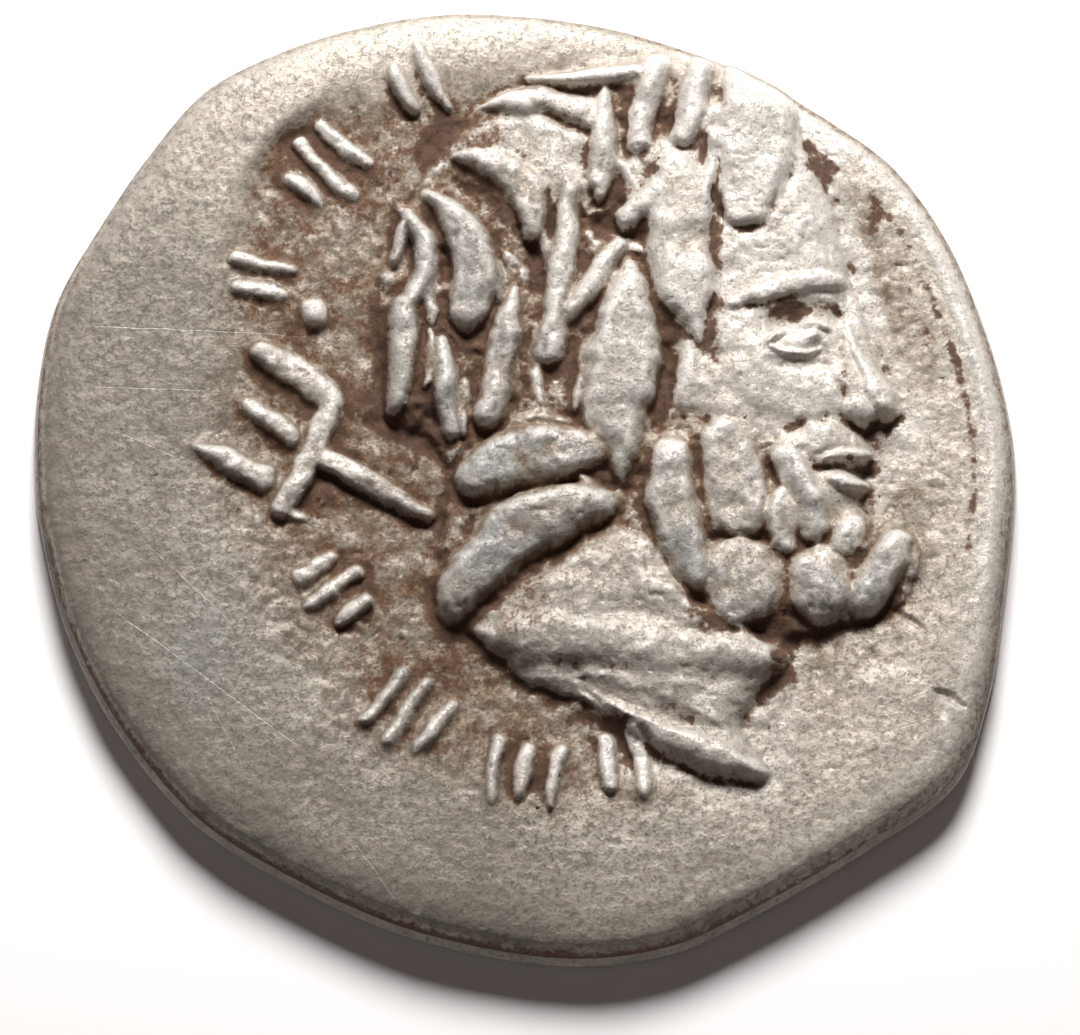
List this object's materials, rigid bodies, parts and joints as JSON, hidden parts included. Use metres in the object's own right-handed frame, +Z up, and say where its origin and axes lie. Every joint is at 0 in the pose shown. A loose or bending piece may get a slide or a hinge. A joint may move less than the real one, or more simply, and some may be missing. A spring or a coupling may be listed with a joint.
{
  "type": "ancient coin",
  "caption": "Small hand-struck silver coin, off centre and worn, with a bearded head in a wreath and a trident, lying loose on its reverse.",
  "frame": {"origin": "on the surface the coin lies on, under the middle of the coin's outline", "axes": "+Z up out of the obverse, +Y towards the top of the obverse, +X the way the head faces"},
  "size_m": [0.015, 0.0148, 0.0014],
  "materials": {
    "silver": "worn silver, toned warm grey, with brown dirt in the recesses"
  },
  "bodies": {
    "root": {"coin": "silver"}
  },
  "joints": []
}
